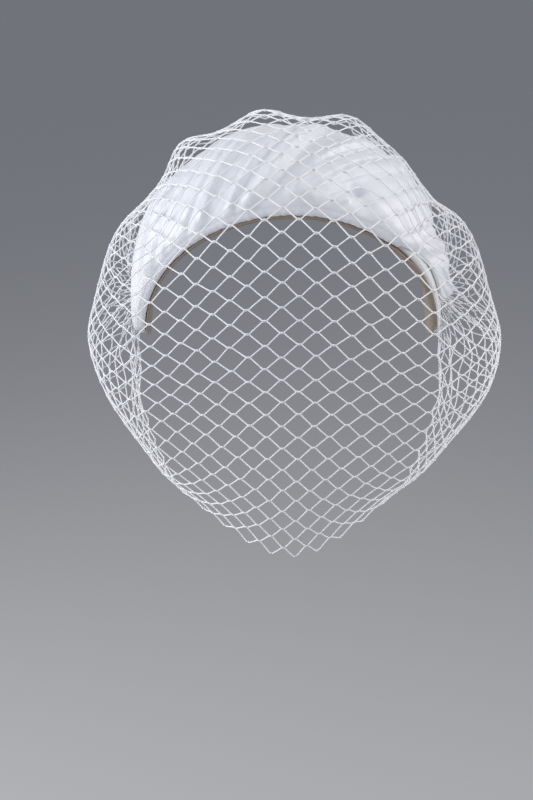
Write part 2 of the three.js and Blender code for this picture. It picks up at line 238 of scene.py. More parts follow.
# A fold runs along a curve from its first place, bent towards the second, to the third. A place is an
# angle along the band and a share across it. The cloth rises slowly over the soft width and drops over
# the steep width, on the right of the curve as it runs.
FOLDS = columns(
    "angle0 across0 angle1 across1 angle2 across2 height soft steep",
    [
        (-90, 0.35, -74, 0.18, -52, 0.70, 1.1, 11, 8.0),
        (-84, 0.10, -64, 0.20, -42, 0.98, 1.2, 11, 8.0),
        (-60, -0.02, -45, 0.18, -27, 1.00, 2.2, 12, 4.0),
        (-52, -0.03, -36, 0.18, -18, 1.00, 1.3, 4, 2.6),
        (-47, -0.03, -33, 0.16, -11, 1.00, 1.1, 4, 2.6),
        (-42, -0.03, -31, 0.14, -6, 1.00, 2.1, 5, 3.0),
        (-32, -0.03, -26, 0.12, 0, 1.00, 3.1, 7, 2.0),
        (-23, -0.05, -14, 0.17, 13, 1.02, 3.2, 3, 2.2),
        (-16, -0.05, 0.5, 0.225, 15, 1.04, 5.8, 6.5, 2.3),
        (-2, 0.02, 10, 0.22, 28, 1.00, 4.0, 4.5, 15.0),
        (2, 0.02, 21, 0.36, 44, 0.86, 4.8, 5, 1.8),
        (8, -0.04, 13, 0.03, 18, 0.085, 2.0, 3.0, 2.4),
        (24, 0.00, 40, 0.20, 64, 0.62, 1.6, 14, 12.0),
        (42, -0.02, 54, 0.20, 61, 0.84, 1.0, 2.5, 7.0),
        (48, -0.02, 57, 0.28, 66, 0.80, 2.0, 6, 2.0),
        (60, 0.20, 68, 0.20, 80, 0.38, 1.6, 4, 2.4),
    ],
)
# Creases are narrow furrows along the same kind of curve.
CREASES = columns(
    "angle0 across0 angle1 across1 angle2 across2 depth width",
    [
        (-2, 0.11, 8, 0.19, 34, 0.88, 2.0, 1.4),
        (12, 0.13, 22, 0.31, 43, 0.76, 1.8, 1.4),
        (10, 0.06, 14, 0.12, 18, 0.15, 0.9, 1.1),
        (38, -0.02, 50, 0.20, 58, 0.84, 1.2, 1.5),
        (52, -0.03, 60, 0.30, 69, 0.80, 1.9, 1.7),
        (62, 0.05, 70, 0.12, 79, 0.25, 0.9, 1.6),
        (64, 0.35, 71, 0.42, 79, 0.50, 0.8, 1.6),
        (64, 0.70, 71, 0.68, 79, 0.62, 0.6, 1.8),
    ],
)
# Mounds are rounded rises, or hollows where the height is below 0.
MOUNDS = columns(
    "angle across height along_mm across_mm",
    [
        (-62, 0.50, 2.2, 26, 36),
        (-46, 0.68, 5.0, 20, 34),
        (-20, 0.88, 2.8, 26, 30),
        (20, 0.86, 2.0, 20, 26),
        (40, 0.66, 5.0, 26, 36),
        (48, 0.72, 2.0, 10, 20),
        (56, 0.56, -1.4, 5, 16),
        (65, 0.42, 4.3, 13, 20),
        (19.7, 0.155, -1.1, 7.0, 5.0),
        (27, 0.10, 1.4, 6, 4),
        (73, 0.25, 3.0, 7, 9),
        (70, 0.50, -2.0, 4, 8),
    ],
)
FOLD_STATIONS = 22
FOLD_FADE = 0.12
FOLD_END_HEIGHT = 0.35
FOLD_BACK = {"share": 0.29, "from": 0.50, "to": 0.85}
FOLD_BLEND = 5.0  # the higher, the sharper the meeting of two folds
CREASE_FADE = {"in": 0.25, "out": 0.7}


def along_curve(fold, angle, across):
    """For each place the distance in mm to the fold's curve, the side it lies on (above 0 on the right)
    and the share of the curve's length that is passed. The curve is cut into short straight lines."""
    s = np.linspace(0, 1, FOLD_STATIONS)
    corners = [[fold[f"angle{k}"] * MM_PER_DEGREE, fold[f"across{k}"] * MM_ACROSS] for k in (0, 1, 2)]
    weights = np.stack([(1 - s) ** 2, 2 * s * (1 - s), s**2], 1)
    line = weights @ np.array(corners)
    start, way = line[:-1], np.diff(line, axis=0)
    place = np.stack([angle * MM_PER_DEGREE, across * MM_ACROSS], -1)[..., None, :]
    from_start = place - start
    share = np.clip((from_start * way).sum(-1) / (way**2).sum(-1), 0, 1)
    apart = from_start - share[..., None] * way
    distance = np.hypot(apart[..., 0], apart[..., 1])
    nearest = distance.argmin(-1)[..., None]
    side = way[:, 1] * apart[..., 0] - way[:, 0] * apart[..., 1]

    def at_nearest(values):
        """The values of each place's nearest short line."""
        return np.take_along_axis(values, nearest, -1)[..., 0]

    passed = (at_nearest(share) + nearest[..., 0]) / (FOLD_STATIONS - 1)
    return at_nearest(distance), np.sign(at_nearest(side)), passed


def fold_relief(angle, across):
    """Height of the folds: each is a bell with a soft and a steep side, and where several meet, the
    sum of their powers gives a rounded greatest value."""
    total = np.zeros(np.broadcast(angle, across).shape)
    for fold in FOLDS:
        distance, side, passed = along_curve(fold, angle, across)
        width = np.where(side > 0, fold["steep"], fold["soft"])
        ends = smooth(passed, 0, FOLD_FADE) * (1 - smooth(passed, 1 - FOLD_FADE, 1))
        height = fold["height"] * lerp(FOLD_END_HEIGHT, 1, ends) * bell(distance, width)
        total += height**FOLD_BLEND
    flatter = lerp(1, FOLD_BACK["share"], smooth(across, FOLD_BACK["from"], FOLD_BACK["to"]))
    return flatter * total ** (1 / FOLD_BLEND)


def crease_relief(angle, across):
    """Depth of the furrows: a narrow bell across each curve that fades at both ends."""
    total = np.zeros(np.broadcast(angle, across).shape)
    for crease in CREASES:
        distance, _, passed = along_curve(crease, angle, across)
        ends = smooth(passed, 0, CREASE_FADE["in"]) * (1 - smooth(passed, CREASE_FADE["out"], 1))
        total -= crease["depth"] * ends * bell(distance, crease["width"])
    return total


def mound_relief(angle, across, mounds=MOUNDS):
    """Sum of the rounded rises and hollows, each a bell along the band times a bell across it."""
    total = np.zeros(np.broadcast(angle, across).shape)
    for mound in mounds:
        along = (angle - mound["angle"]) * MM_PER_DEGREE / mound["along_mm"]
        over = (across - mound["across"]) * MM_ACROSS / mound["across_mm"]
        total += mound["height"] * np.exp(-(along**2) - over**2)
    return total


# Fine pleats run side by side from the front edge, each leaning over by the same angle on its way to
# the back edge: fast at first, then slower.
PLEATS = {
    "turn": 34, "bend": 1.35, "height": 0.65, "calm": 0.25, "calm_from": 0, "calm_to": 24, "seed": 11,
}
PLEAT_WIDTHS = (5.9, 3.7, 9.1)
# The slow waves that sway the pleats sideways, by a share of their length, and let them rise and fade.
PLEAT_SWAY = {"lengths": (47, 23, 13), "share": 0.05, "down": 37}
PLEAT_FADE = {"along": 7.3, "sway": 1.3, "down": 29}
PUCKERS = {
    "spacing": 6.0, "height": 0.5, "from": 4.0, "reach": 5.0, "seed": 5,
    "centre": 20, "spread": 11, "least": 0.15, "swell": 17,
}
PUCKER_SPACINGS = (1.0, 0.62, 1.71)  # shares of the spacing
EDGE_WAVER = {"height": 0.2, "spacing": 7.5, "seed": 8}
EDGE_SPACINGS = (1.0, 0.57, 2.3)
EDGE_PHASE = 6  # radians
RELIEF_LEAST = -1.2  # the deepest that the cloth sinks below its plain level
SETTLED = (0.5, 7.0)  # millimetres from an edge between which the relief grows to its full height


def pleat_relief(angle, across):
    """Fine pleats: rounded tops with sharp valleys between, which is the height of a half wave. They
    are counted by the angle at which each leaves the front edge. Slow waves from a seeded generator
    shift them sideways and let them rise and fade."""
    draw = np.random.default_rng(PLEATS["seed"])
    share = np.clip(across, 0, 1)
    start = angle - PLEATS["turn"] * (1 - (1 - share) ** PLEATS["bend"])
    x, y = start * MM_PER_DEGREE, share * MM_ACROSS
    total = np.zeros(np.broadcast(x, y).shape)
    for width in PLEAT_WIDTHS:
        shift = np.zeros(total.shape)
        for length in PLEAT_SWAY["lengths"]:
            first, second = draw.uniform(0, 2 * math.pi, 2)
            phase = 2 * math.pi * x / length + first + np.sin(y / PLEAT_SWAY["down"] + second)
            shift += PLEAT_SWAY["share"] * length * np.sin(phase)
        first, second = draw.uniform(0, 2 * math.pi, 2)
        sway = PLEAT_FADE["sway"] * np.sin(y / PLEAT_FADE["down"] + second)
        fade = 0.5 + 0.5 * np.sin(x / PLEAT_FADE["along"] + first + sway)
        total += fade * np.abs(np.sin(math.pi * (x + shift) / width)) * width / PLEAT_WIDTHS[0]
    calm = lerp(1, PLEATS["calm"], smooth(start, PLEATS["calm_from"], PLEATS["calm_to"]))
    return PLEATS["height"] * calm * total / 2


def pucker_relief(angle, across_mm):
    """Short puckers that run in from an edge: waves along the edge that die away inwards."""
    draw = np.random.default_rng(PUCKERS["seed"])
    x = angle * MM_PER_DEGREE
    total = np.zeros(np.broadcast(x, across_mm).shape)
    for share in PUCKER_SPACINGS:
        shift, slow = draw.uniform(0, 2 * math.pi, 2)
        strength = 0.5 + 0.5 * np.sin(x / PUCKERS["swell"] + slow)
        total += strength * np.sin(2 * math.pi * (x - across_mm) / (PUCKERS["spacing"] * share) + shift)
    most = lerp(PUCKERS["least"], 1, bell(angle - PUCKERS["centre"], PUCKERS["spread"]))
    return PUCKERS["height"] * most * total / 2 * bell(across_mm - PUCKERS["from"], PUCKERS["reach"])


def on_right(angle):
    """0 where the drape is turned over the rim, 1 where its front edge lies on top of the base."""
    return smooth(angle, COVER_FRONT["from"], COVER_FRONT["to"])


def cover_front(angle):
    """Where the drape's front edge lies: turned down over the base's rim as a lip, and further in on
    the right. A sum of three waves lets it waver."""
    draw = np.random.default_rng(EDGE_WAVER["seed"])
    waver = np.zeros(np.shape(angle))
    for share in EDGE_SPACINGS:
        spacing = EDGE_WAVER["spacing"] * share
        waver += np.sin(2 * math.pi * angle * MM_PER_DEGREE / spacing + draw.uniform(0, EDGE_PHASE))
    edge = lerp(COVER_FRONT["lip"], COVER_FRONT["right"], on_right(angle))
    return edge + EDGE_WAVER["height"] / MM_ACROSS * waver / 2


def cover_ground(angle, across):
    """Height of the drape without folds and hollows: the padding, the cloth's wall and the rises."""
    rises = [mound for mound in MOUNDS if mound["height"] > 0]
    return padding_top(angle, across) + GAP + COVER_WALL + mound_relief(angle, across, rises)


def cover_top(angle, across):
    """Height of the drape's outer face: the padding, the cloth's wall and the sum of its reliefs."""
    angle, across = np.broadcast_arrays(angle, across)
    from_front = (across - cover_front(angle)) * MM_ACROSS
    relief = fold_relief(angle, across) + crease_relief(angle, across) + mound_relief(angle, across)
    relief = relief + pleat_relief(angle, across) + pucker_relief(angle, from_front)
    relief = np.maximum(relief, RELIEF_LEAST)
    to_edge = np.minimum(from_front, (COVER_BACK - across) * MM_ACROSS)
    settled = smooth(to_edge, *SETTLED)
    return padding_top(angle, across) + GAP + COVER_WALL + relief * settled


# ---- Meshes -----------------------------------------------------------------------------------------


def new_piece(name, points, faces, uv=None, smooth_faces=True):
    """A mesh object at the origin, from points in millimetres. uv holds one place for each point."""
    mesh = bpy.data.meshes.new(name)
    mesh.vertices.add(len(points))
    mesh.vertices.foreach_set("co", (np.asarray(points, float) * MM).astype(np.float32).ravel())
    loops = np.concatenate([np.asarray(group, np.int32).ravel() for group in faces])
    sizes = np.concatenate([np.full(len(group), np.shape(group)[1], np.int32) for group in faces])
    mesh.loops.add(len(loops))
    mesh.loops.foreach_set("vertex_index", loops)
    mesh.polygons.add(len(sizes))
    starts = np.concatenate([[0], np.cumsum(sizes)[:-1]])
    mesh.polygons.foreach_set("loop_start", starts.astype(np.int32))
    mesh.polygons.foreach_set("use_smooth", np.full(len(sizes), smooth_faces))
    if uv is not None:
        layer = mesh.uv_layers.new(name="cloth")
        layer.data.foreach_set("uv", np.asarray(uv, np.float32)[loops].ravel())
    mesh.update(calc_edges=True)
    mesh.validate()
    piece = bpy.data.objects.new(name, mesh)
    bpy.context.scene.collection.objects.link(piece)
    return piece


def wrapped(points):
    """Faces of a closed body from a grid of points: each row is a ring around the body, and the first
    and the last ring are closed by one face each."""
    rows, count = points.shape[:2]
    at = np.arange(rows * count).reshape(rows, count)
    after = np.roll(at, -1, axis=1)
    sides = np.stack([at[:-1], after[:-1], after[1:], at[1:]], -1).reshape(-1, 4)
    return [sides, at[:1, ::-1], at[-1:]]


def facing_out(piece):
    """Turns the piece's faces outwards if its volume comes out below 0."""
    mesh = piece.data
    mesh.calc_loop_triangles()
    corner = np.zeros(len(mesh.loop_triangles) * 3, np.int32)
    mesh.loop_triangles.foreach_get("vertices", corner)
    place = np.zeros(len(mesh.vertices) * 3)
    mesh.vertices.foreach_get("co", place)
    a, b, c = (place.reshape(-1, 3)[corner.reshape(-1, 3)[:, k]] for k in range(3))
    if (a * np.cross(b, c)).sum() < 0:
        mesh.flip_normals()
    return piece


def band_piece(name, low, high, along, top_rows, bottom_rows, front, back, top, bottom, tip=TIP_ANGLE):
    """A closed cloth or pad over the band. Each ring runs over the outer face from front to back and
    returns under it. top and bottom give the heights, front and back the shares across."""
    turn = np.linspace(0, math.pi, top_rows)
    top_share = lerp(np.linspace(0, 1, top_rows), (1 - np.cos(turn)) / 2, CLOSER["over"])
    under = np.linspace(0, math.pi, bottom_rows + 2)[1:-1]
    even = np.linspace(1, 0, bottom_rows + 2)[1:-1]
    bottom_share = lerp(even, (1 + np.cos(under)) / 2, CLOSER["under"])
    share = np.concatenate([top_share, bottom_share])[None, :]
    outer = (np.arange(top_rows + bottom_rows) < top_rows)[None, :]
    bent = lerp(low, high, (1 - np.cos(np.linspace(0, math.pi, along))) / 2)
    angle = lerp(np.linspace(low, high, along), bent, CLOSER["along"])[:, None]
    across = lerp(front(angle), back, share)
    drawn = rounded_across(angle, across, low, high, tip)
    height = np.where(outer, top(angle, drawn, share), bottom(angle, drawn))
    points = band_points(angle, drawn, height)
    uv = np.stack(np.broadcast_arrays(angle * MM_PER_DEGREE, drawn * MM_ACROSS), -1) / UV_UNIT
    piece = new_piece(name, points.reshape(-1, 3), wrapped(points), uv.reshape(-1, 2))
    return facing_out(piece)


def quarter_round(t):
    """0 below 0 and 1 above 1, rising between as a quarter circle does."""
    return np.sqrt(1 - (1 - np.clip(t, 0, 1)) ** 2)


def edge_roll(share, width):
    """0 at the front and back edges and 1 further in, rising as a quarter circle."""
    return quarter_round(np.minimum(share, 1 - share) / width)


# ---- The net ----------------------------------------------------------------------------------------

# Sections of the hung net from its top edge (down 0) to its bottom edge (down 1). Each is one curve
# through the front, the cheek, the corner, the wing and the rear fold, and ends at the gather.
# x sideways, y back, z up from the level of the ears. left_share is the reach on the left.
SECTIONS = columns(
    "down left_share frontY frontZ cheekX cheekY cheekZ cornerX cornerY cornerZ wingX wingY wingZ "
    "rearX rearY rearZ",
    [
        (0.000, 1.00, 29, 102.5, 49, 28, 87, 65, 28, 73, 77, 27, 57, 83, 23, 38),
        (0.064, 1.00, 12, 114, 55, 20, 93, 72, 23, 76, 84, 25, 59, 87, 23, 35),
        (0.166, 1.00, -20, 115, 63, 4, 92, 79, 13, 74, 90, 20, 55, 90, 22, 32),
        (0.258, 0.98, -45, 107, 70, -17, 84, 88, -1, 66, 97, 14, 46, 93, 22, 27),
        (0.360, 0.97, -68, 89, 76, -41, 66, 96, -21, 51, 103, 3, 34, 97, 20, 21),
        (0.470, 0.97, -86, 61, 78, -62, 41, 99, -41, 31, 108, -13, 20, 101, 16, 12),
        (0.593, 0.96, -97, 27, 79, -76, 12, 102, -57, 8, 112, -27, 3, 104, 11, 2),
        (0.729, 0.94, -102, -12, 76, -80, -20, 98, -61, -21, 107, -32, -19, 102, 8, -11),
        (0.864, 0.96, -99, -54, 66, -73, -56, 81, -55, -51, 91, -28, -44, 94, 10, -25),
        (1.000, 0.99, -88, -98, 57, -55, -79, 69, -36, -70, 80, -8, -60, 86, 16, -35),
    ],
)
COLUMN_AT = {"cheek": 0.38, "corner": 0.52, "wing": 0.68, "rear": 0.86}
GATHER = {"angle0": 74, "across0": 0.97, "angle1": 88, "across1": 0.80, "stand": 1.2}
GATHER_FOLDS = {"count": 3, "depth": 2.6, "centre": 0.80, "spread": 0.09}
GATHER_PLEATS = {"count": 9, "depth": 3.0, "centre": 0.86, "spread": 0.08}
# The net lies on the drape and stands up from it in a few puffs.
PUFFS = columns("angle across height along_mm across_mm", [
    (-32, 0.82, 8.5, 13, 20),
    (-8, 0.87, 6.5, 14, 20),
    (17, 0.85, 7.0, 15, 20),
])
# How high the net spans over the drape's folds at the front, and how close it comes further back and
# down the sides, past the angle "near" and by the angle "far".
BRIDGE = {"high": 5.6, "low": 1.2, "from": 0.55, "to": 0.90, "near": 28, "far": 44}
HUG = {"front": -0.20, "full": 0.16}
LET_GO = {"left": (43, 64), "right": (45, 60)}  # the angles where the net leaves the drape
SHEAR = {"most": 0.10, "from": -0.05, "full": 0.30, "fades": 0.50, "gone": 0.90, "down": 0.36}
BAR_TURN = {"most": 0.9, "full": 0.5}
REST_ON = 1.0  # the net lies this high over the drape
# How far past the drape's edges and its ends the net still keeps clear of it.
KEEP_CLEAR = {"edge": 5.0, "end": 4.0}
NORMAL_STEP = 0.004  # share of the sheet over which its slope is taken

# A strand has places between two nodes, at these shares of the way. At a node the strands of the two
# families cross, one over the other and a little apart, and are thickest. NEARNESS is the share of that
# crossing left at each place, and SWELL the thickness there.
STRAND_SIDES = 6
STRAND_TURN = np.arange(STRAND_SIDES) * 2 * math.pi / STRAND_SIDES
BETWEEN = np.array([0.07, 0.15, 0.5, 0.85, 0.93])
NEARNESS = np.array([0.7, 0.2, 0, 0.2, 0.7])
SWELL = np.array([1.2, 1.06, 0.98, 1.06, 1.2])
NODE_SWELL = 1.3
CROSSING = {"lift": 0.22, "apart": 0.9}
HALF_BAR = 0.08  # share of the way from node to node
SLANT_BEND = 0.3
STILL_EDGE = 1  # nodes this close to the side edges don't stray
STRAY_SEED = 3
WAY_STEP = 0.4  # millimetres either way over which a strand's direction is taken
NO_LENGTH = 1e-9  # keeps a direction of no length from being divided by 0
NET_UV_UNIT = 10  # millimetres of strand in one unit of its UV map


def smooth_weights(stations, value):
    """Weights of a smooth cubic curve through uneven stations, whose slope at each station is that of
    the line between its neighbours. One row of weights for each value."""
    stations = np.asarray(stations, float)
    last = len(stations) - 1
    k = np.clip(np.searchsorted(stations, value) - 1, 0, last - 1)
    span = stations[k + 1] - stations[k]
    t = (value - stations[k]) / span
    row = np.arange(len(value))
    weights = np.zeros((len(value), last + 1))
    weights[row, k] += 2 * t**3 - 3 * t**2 + 1
    weights[row, k + 1] += -2 * t**3 + 3 * t**2
    for at, share in ((k, t**3 - 2 * t**2 + t), (k + 1, t**3 - t**2)):
        before, after = np.maximum(at - 1, 0), np.minimum(at + 1, last)
        rate = share * span / (stations[after] - stations[before])
        np.add.at(weights, (row, after), rate)
        np.add.at(weights, (row, before), -rate)
    return weights


def gather_point(down, side):
    """The place on the band where a section's gathered end is sewn down."""
    angle = side * lerp(GATHER["angle0"], GATHER["angle1"], down)
    across = lerp(GATHER["across0"], GATHER["across1"], down)
    plain = max(padding_top(angle, across) + GAP + COVER_WALL, 0)
    return band_points(np.array(angle), np.array(across), np.array(plain + GATHER["stand"]))


def section_points():
    """The sections as an array of points: one row a section, one column a place along it."""
    rows = []
    for section in SECTIONS:
        left, right = [], []
        for name in COLUMN_AT:
            x, y, z = (section[name + axis] for axis in "XYZ")
            left.insert(0, [-x * section["left_share"], y, z - HEAD_HALF[2]])
            right.append([x, y, z - HEAD_HALF[2]])
        front = [0, section["frontY"], section["frontZ"] - HEAD_HALF[2]]
        ends = [gather_point(section["down"], side) for side in (-1, 1)]
        rows.append([ends[0], *left, front, *right, ends[1]])
    return np.array(rows, float)


SHEET_POINTS = section_points()
SHEET_ACROSS = [-1, *(-at for at in reversed(COLUMN_AT.values())), 0, *COLUMN_AT.values(), 1]
SHEET_DOWN = [section["down"] for section in SECTIONS]


def sheet_points(across, down):
    """The hung sheet: smooth curves through the sections, both along them and down them."""
    along = smooth_weights(SHEET_ACROSS, across)
    over = smooth_weights(SHEET_DOWN, down)
    return np.einsum("nj,ni,jik->nk", over, along, SHEET_POINTS)


def net_points(across, down, height):
    """The net: the hung sheet raised by its gathers, then drawn down onto the drape where it hugs it,
    raised by its puffs there, and pushed out where it would come too near the drape."""
    left = np.clip(across - NORMAL_STEP, -1, 1)
    right = np.clip(across + NORMAL_STEP, -1, 1)
    above = np.clip(down - NORMAL_STEP, 0, 1)
    below = np.clip(down + NORMAL_STEP, 0, 1)
    sideways = sheet_points(right, down) - sheet_points(left, down)
    downwards = sheet_points(across, below) - sheet_points(across, above)
    normal = unit(np.cross(downwards, sideways))
    reach = np.abs(across)
    lift = np.zeros(len(across))
    for folds in (GATHER_FOLDS, GATHER_PLEATS):
        wave = np.cos(2 * math.pi * folds["count"] * down)
        lift += wave * folds["depth"] * bell(reach - folds["centre"], folds["spread"])
    point = sheet_points(across, down) + normal * (lift + height)[:, None]
    angle, share, stands = band_places(point)
    inside = np.clip(share, cover_front(angle), COVER_BACK)
    beyond = np.abs(share - inside) * MM_ACROSS
    past_end = np.maximum(np.maximum(COVER_REACH["left"] - angle, angle - COVER_REACH["right"]), 0)
    held = np.clip(angle, COVER_REACH["left"], COVER_REACH["right"])
    needed = cover_top(held, inside) + REST_ON + height
    gone = smooth(-angle, *LET_GO["left"]) + smooth(angle, *LET_GO["right"])
    hug = smooth(share, HUG["front"], HUG["full"]) * (1 - gone)
    in_front = 1 - smooth(share, BRIDGE["from"], BRIDGE["to"])
    on_top = 1 - smooth(np.abs(angle), BRIDGE["near"], BRIDGE["far"])
    bridge = lerp(BRIDGE["low"], BRIDGE["high"], in_front * on_top)
    ground = cover_ground(held, inside) + bridge + REST_ON + height
    drawn = lerp(stands, ground + mound_relief(angle, share, PUFFS), hug)
    near = bell(beyond, KEEP_CLEAR["edge"]) * bell(past_end, KEEP_CLEAR["end"])
    push = drawn - stands + np.maximum(needed - drawn, 0) * near
    p = point + [0, 0, HEAD_HALF[2]]
    outward = unit(p / HEAD_HALF**2)
    return point + outward * push[:, None], normal


def on_left(across, down):
    """1 where the net is drawn aslant over the left of the band, 0 elsewhere."""
    left = smooth(-across, SHEAR["from"], SHEAR["full"])
    left = left * (1 - smooth(-across, SHEAR["fades"], SHEAR["gone"]))
    return left * (1 - smooth(down, 0, SHEAR["down"]))


def bar_turn(across, down):
    """How far the short bars at the nodes turn from level, 0, to the way of the first family, 1."""
    return BAR_TURN["most"] * smooth(on_left(across, down), 0, BAR_TURN["full"])


def net_plan(settings):
    """The net laid flat. A node stands wherever two strands meet, which is at every second place of a
    grid of half cells, and strays a little by chance. Gives the nodes' places, a grid of their numbers
    that holds -1 where there is none, half a cell and the plan's whole size."""
    cells = settings.cells_across, settings.cells_down
    size = np.array([settings.flat_width, settings.flat_length]) / MM
    half_cell = size / cells / 2
    columns_at = np.arange(-cells[0], cells[0] + 1)
    rows_at = np.arange(0, 2 * cells[1] + 1)
    i, j = np.meshgrid(columns_at, rows_at, indexing="ij")
    kept = (i + j) % 2 == 0
    number = np.full(i.shape, -1)
    number[kept] = np.arange(kept.sum())
    flat = np.stack([i[kept] * half_cell[0], j[kept] * half_cell[1]], 1)
    stray = np.random.default_rng(STRAY_SEED).normal(0, settings.unevenness / MM, flat.shape)
    flat += stray * (np.abs(flat[:, :1]) < size[0] / 2 - STILL_EDGE)
    return flat, number, half_cell, size


def strand_lines(flat, start, end, lean, half_cell, reach):
    """Places and directions on the flat plan of the strands of one family, first at all the nodes and
    then between each start and end. A strand runs level along half a bar, then aslant, then level again.
    Where the bars are turned, it is drawn towards the straight line or away from it, as it leans."""
    level = np.clip((BETWEEN - HALF_BAR) / (1 - 2 * HALF_BAR), 0, 1)
    slant = lerp(level, smooth(level, 0, 1), SLANT_BEND)
    a, b = flat[start], flat[end]
    turned = lean * bar_turn(*((a + b).T / 2 / reach))
    rise = slant + turned[:, None] * (BETWEEN - slant)
    slope = np.gradient(rise, BETWEEN, axis=1)
    share = np.stack([np.broadcast_to(BETWEEN, rise.shape), rise], -1)
    middle = a[:, None, :] + (b - a)[:, None, :] * share
    way = (b - a)[:, None, :] * np.stack([np.ones(rise.shape), slope], -1)
    node_turn = bar_turn(*(flat.T / reach))
    node_way = lean * np.stack([half_cell[0] * np.ones(len(flat)), half_cell[1] * node_turn], 1)
    places = np.concatenate([flat, middle.reshape(-1, 2)])
    return places, np.concatenate([node_way, way.reshape(-1, 2)])


def strand_faces(nodes, start, end, base):
    """Faces of the tubes of one family, whose rings are numbered from base: the walls from ring to ring,
    and the caps at nodes where only one strand of the family begins or ends."""
    count = len(BETWEEN)
    inner = base + nodes + np.arange(len(start) * count).reshape(len(start), count)
    rings = np.concatenate([base + start[:, None], inner, base + end[:, None]], 1) * STRAND_SIDES
    first, second = rings[:, :-1].ravel()[:, None], rings[:, 1:].ravel()[:, None]
    k = np.arange(STRAND_SIDES)
    after = (k + 1) % STRAND_SIDES
    walls = np.stack([first + k, first + after, second + after, second + k], -1).reshape(-1, 4)
    leaving = np.bincount(start, minlength=nodes)
    coming = np.bincount(end, minlength=nodes)
    opening = np.flatnonzero((leaving == 1) & (coming == 0)) + base
    closing = np.flatnonzero((leaving == 0) & (coming == 1)) + base
    caps = [opening[:, None] * STRAND_SIDES + k[::-1], closing[:, None] * STRAND_SIDES + k]
    return walls, np.concatenate(caps)


def strand_rings(point, normal, forward, radius):
    """A ring of points round each place of a strand, square to its direction."""
    beside = unit(np.cross(normal, forward))
    outward = np.cross(forward, beside)
    over = np.cos(STRAND_TURN)[None, :, None] * outward[:, None, :]
    aside = np.sin(STRAND_TURN)[None, :, None] * beside[:, None, :]
    return point[:, None, :] + radius[:, None, None] * (over + aside)


def net_mesh(settings):
    """The net as tubes. Each of its two families of strands runs from node to node on the flat plan. The
    plan is then hung, drawn aslant on the left, and a ring of points stands round each of its places."""
    flat, number, half_cell, size = net_plan(settings)
    reach = (size / [2, 1])[:, None]
    centres, ways, lifts, swells = [], [], [], []
    walls, caps = [], []
    base = 0
    for lean in (1, -1):
        start = number[:-1, :-1] if lean > 0 else number[1:, :-1]
        end = number[1:, 1:] if lean > 0 else number[:-1, 1:]
        linked = (start >= 0) & (end >= 0)
        start, end = start[linked], end[linked]
        places, directions = strand_lines(flat, start, end, lean, half_cell, reach)
        centres.append(places)
        ways.append(directions)
        high = lean * CROSSING["lift"]
        lifts += [np.full(len(flat), high), np.tile(NEARNESS * high, len(start))]
        swells += [np.full(len(flat), NODE_SWELL), np.tile(SWELL, len(start))]
        family_walls, family_caps = strand_faces(len(flat), start, end, base)
        walls.append(family_walls)
        caps.append(family_caps)
        base += len(places)
    lift = np.concatenate(lifts)
    centre = np.concatenate(centres)
    centre[:, 1] -= lift * CROSSING["apart"]
    way = unit(np.concatenate(ways)) * WAY_STEP

    def hung(plan):
        """Places of the flat plan on the hung net, and the net's outward direction there."""
        across, down = ((plan + [settings.lattice_shift / MM, 0]) / reach.T).T
        across, down = np.clip(across, -1, 1), np.clip(down, 0, 1)
        return net_points(across - SHEAR["most"] * on_left(across, down), down, lift)

    point, normal = hung(centre)
    forward = unit(hung(centre + way)[0] - hung(centre - way)[0] + NO_LENGTH)
    radius = settings.strand_thickness / MM / 2 * np.concatenate(swells)
    points = strand_rings(point, normal, forward, radius).reshape(-1, 3)
    faces = [np.concatenate(walls), np.concatenate(caps)]
    used = np.unique(np.concatenate([group.ravel() for group in faces]))
    new = np.zeros(len(points), int)
    new[used] = np.arange(len(used))
    turns = np.tile(STRAND_TURN / (2 * math.pi), len(centre))
    uv = np.stack([turns, np.repeat(centre[:, 0] / NET_UV_UNIT, STRAND_SIDES)], 1)
    return points[used], [new[group] for group in faces], uv[used]


# ---- Materials --------------------------------------------------------------------------------------


